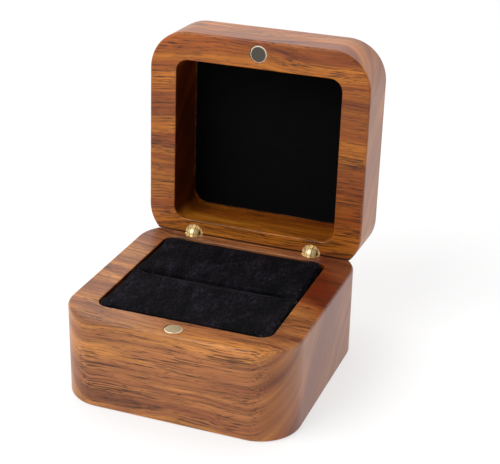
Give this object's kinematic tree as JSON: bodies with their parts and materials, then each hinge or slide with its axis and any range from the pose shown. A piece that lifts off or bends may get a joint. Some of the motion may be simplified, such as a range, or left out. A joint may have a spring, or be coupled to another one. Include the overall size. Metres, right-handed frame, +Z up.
{
  "type": "ring box",
  "caption": "Square wooden ring box with rounded corners, a slit velvet ring cushion, and a hollow velvet-lined lid on barrel hinges, held shut by magnets.",
  "frame": {"origin": "centre of the base's underside, on the surface that the box stands on", "axes": "+Z up, +X along the hinge line to the right seen from the front, +Y to the rear, where the lid is hinged"},
  "size_m": [0.06, 0.0723, 0.0793],
  "materials": {
    "oiled_wood": "oiled satin",
    "brass": "polished",
    "nickel_plate": "nickel plated",
    "velvet": "short black pile",
    "foam": "open-cell foam",
    "card": "grey board"
  },
  "bodies": {
    "base": {"base_body": "oiled_wood", "base_magnet": "nickel_plate", "cushion_card": "card", "cushion_front_foam": "foam", "cushion_front_velvet": "velvet", "cushion_rear_foam": "foam", "cushion_rear_velvet": "velvet", "left_base_barrel": "brass", "left_base_cross_pin": "brass", "left_outer_link_a": "brass", "left_outer_link_b": "brass", "left_pivot_pin": "brass", "right_base_barrel": "brass", "right_base_cross_pin": "brass", "right_outer_link_a": "brass", "right_outer_link_b": "brass", "right_pivot_pin": "brass"},
    "lid": {"lid_body": "oiled_wood", "lid_magnet": "nickel_plate", "lid_lining_card": "card", "lid_lining_velvet": "velvet", "left_lid_barrel": "brass", "left_lid_cross_pin": "brass", "left_centre_link": "brass", "right_lid_barrel": "brass", "right_lid_cross_pin": "brass", "right_centre_link": "brass"}
  },
  "joints": [
    {"name": "lid_hinge", "type": "hinge", "parent": "base", "child": "lid", "pos_m": [0, 0.0258, 0.02407], "axis": [1, 0, 0], "range_deg": [0, 92]}
  ]
}
